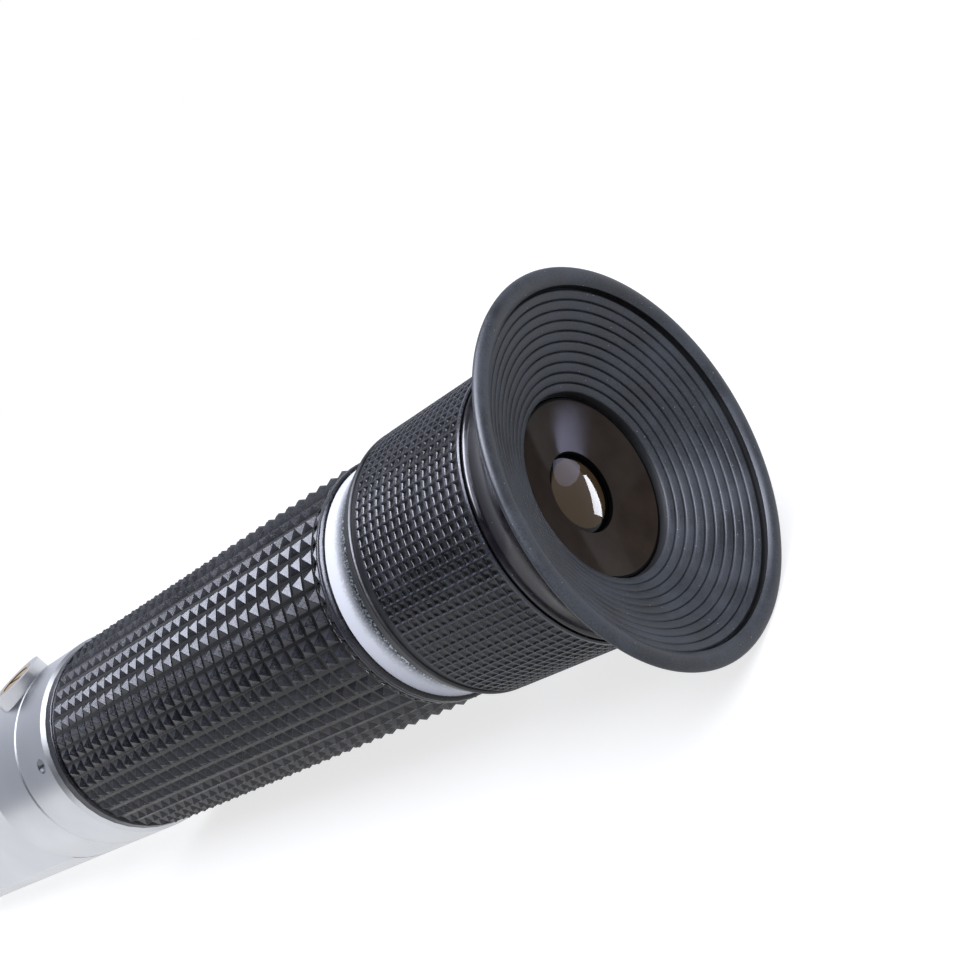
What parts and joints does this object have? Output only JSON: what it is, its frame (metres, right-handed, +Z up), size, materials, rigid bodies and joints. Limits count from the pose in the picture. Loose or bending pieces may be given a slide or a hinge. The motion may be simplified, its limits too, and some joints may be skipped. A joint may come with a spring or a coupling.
{
  "type": "handheld refractometer",
  "caption": "Handheld refractometer with a hinged daylight plate over a sloping prism, a studded rubber grip, a focus ring and a wide soft eyecup.",
  "frame": {"origin": "on the optical axis, at the middle of the smooth band at the rear of the head's collar", "axes": "+X along the optical axis, out of the eyepiece towards the eye; +Z up, the side of the daylight plate and of the calibration screw; +Y to the left of someone who looks in"},
  "size_m": [0.1604, 0.04, 0.04],
  "materials": {
    "satin_alloy": "satin, fine bead-blasted",
    "tube_alloy": "turned",
    "black_alloy": "black anodised, matt",
    "grip_rubber": "moulded, studded",
    "sleeve_rubber": "moulded, fine square net",
    "cup_rubber": "moulded, matt",
    "black_plastic": "moulded, matt",
    "gloss_black": "glossy dark brown-black",
    "steel": "turned",
    "bimetal": "rolled strip",
    "brass": "turned",
    "hinge_metal": "satin plated",
    "optical_glass": "polished, coated",
    "prism_glass": "polished, dark blue",
    "prism_cement": "black, smooth",
    "clear_acrylic": "clear, faintly frosted"
  },
  "bodies": {
    "barrel": {"body_tube": "tube_alloy", "rubber_grip": "grip_rubber", "eyepiece_mount": "satin_alloy", "guide_pin": "steel", "prism_head": "satin_alloy", "head_set_screws": "steel", "main_prism": "prism_glass", "prism_seal": "prism_cement", "prism_aperture": "black_alloy", "hinge_pin": "steel", "calibration_bush": "brass", "carrier_guide": "black_alloy", "front_baffle": "black_alloy", "rear_baffle": "black_alloy", "reticle_cell": "black_alloy", "scale_reticle": "optical_glass", "reticle_retainer": "black_alloy"},
    "daylight_plate": {"daylight_plate": "clear_acrylic", "plate_hinge": "hinge_metal", "plate_screws": "steel"},
    "calibration_screw": {"calibration_screw": "brass", "calibration_clip": "steel"},
    "objective_carriage": {"objective_carrier": "black_alloy", "bimetal_strip": "bimetal", "bimetal_screws": "steel", "objective_cell": "black_alloy", "objective_flint": "optical_glass", "objective_crown": "optical_glass", "objective_retainer": "black_alloy"},
    "lens_cell": {"lens_cell": "black_alloy", "eye_lens": "optical_glass", "eye_lens_retainer": "gloss_black", "field_lens": "optical_glass", "field_lens_retainer": "black_alloy"},
    "focus_ring": {"focus_ring": "black_plastic", "focus_ring_rubber": "sleeve_rubber", "eye_cup": "cup_rubber"}
  },
  "joints": [
    {"name": "plate_swing", "type": "hinge", "parent": "barrel", "child": "daylight_plate", "pos_m": [-0.01929, 0, 0.01178], "axis": [0, 1, 0], "range_deg": [0, 130]},
    {"name": "calibration_turn", "type": "hinge", "parent": "barrel", "child": "calibration_screw", "pos_m": [-0.009, 0, 0.0145], "axis": [0, 0, 1], "range_deg": [-360, 360]},
    {"name": "objective_lift", "type": "slide", "parent": "barrel", "child": "objective_carriage", "axis": [0, 0, 1], "range_m": [-0.0004, 0.0004]},
    {"name": "focus_travel", "type": "slide", "parent": "barrel", "child": "lens_cell", "axis": [1, 0, 0], "range_m": [-0.0015, 0.0025]},
    {"name": "focus_turn", "type": "hinge", "parent": "lens_cell", "child": "focus_ring", "pos_m": [0.07525, 0, 0], "axis": [1, 0, 0], "range_deg": [-135, 225]}
  ],
  "couplings": [
    {"joint": "calibration_turn", "follows": "objective_lift", "rad_per_m": -15708},
    {"joint": "focus_travel", "follows": "focus_turn", "m_per_rad": 0.00063662}
  ]
}
